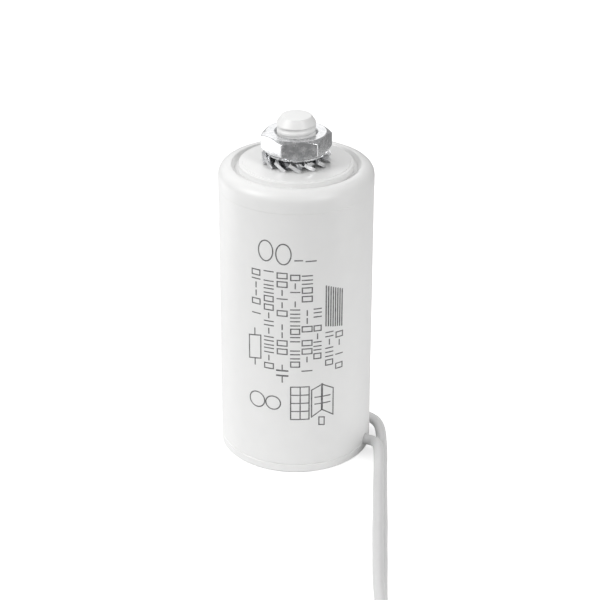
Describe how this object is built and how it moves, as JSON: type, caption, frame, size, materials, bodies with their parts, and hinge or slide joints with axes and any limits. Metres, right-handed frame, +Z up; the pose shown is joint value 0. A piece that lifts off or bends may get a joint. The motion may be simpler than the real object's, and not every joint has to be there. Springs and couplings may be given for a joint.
{
  "type": "motor run capacitor",
  "caption": "Round plastic capacitor case with a threaded mounting stud, nut and toothed washer on top, and insulated wire leads leaving beside its base.",
  "frame": {"origin": "centre of the flat base that the case stands on", "axes": "+Z up along the case and its stud; -Y the side that carries the print; +X the side where the leads leave"},
  "size_m": [0.0335, 0.1116, 0.0698],
  "materials": {
    "case_plastic": "satin moulded plastic",
    "lid_plastic": "satin moulded plastic",
    "nut_zinc": "bright zinc plate",
    "washer_zinc": "zinc plate over spring steel",
    "film": "metallised film",
    "core_plastic": "moulded plastic",
    "sprayed_metal": "rough sprayed zinc",
    "copper": "bare copper wire",
    "resistor_coat": "lacquer",
    "tinned_wire": "tinned",
    "solder": "dull solder",
    "resin": "cast resin",
    "lead_pvc": "satin PVC insulation",
    "tie_nylon": "natural nylon"
  },
  "bodies": {
    "root": {"case": "case_plastic", "base_lid": "lid_plastic", "lock_washer": "washer_zinc", "hex_nut": "nut_zinc", "film_winding": "film", "winding_core": "core_plastic", "lower_contact": "sprayed_metal", "upper_contact": "sprayed_metal", "conductor_front": "copper", "conductor_rear": "copper", "discharge_resistor": "resistor_coat", "resistor_wires": "tinned_wire", "solder_joints": "solder", "potting_resin": "resin", "lead_front": "lead_pvc", "lead_rear": "lead_pvc", "lead_coil": "lead_pvc", "coil_tie": "tie_nylon", "stripped_ends": "copper"}
  },
  "joints": []
}
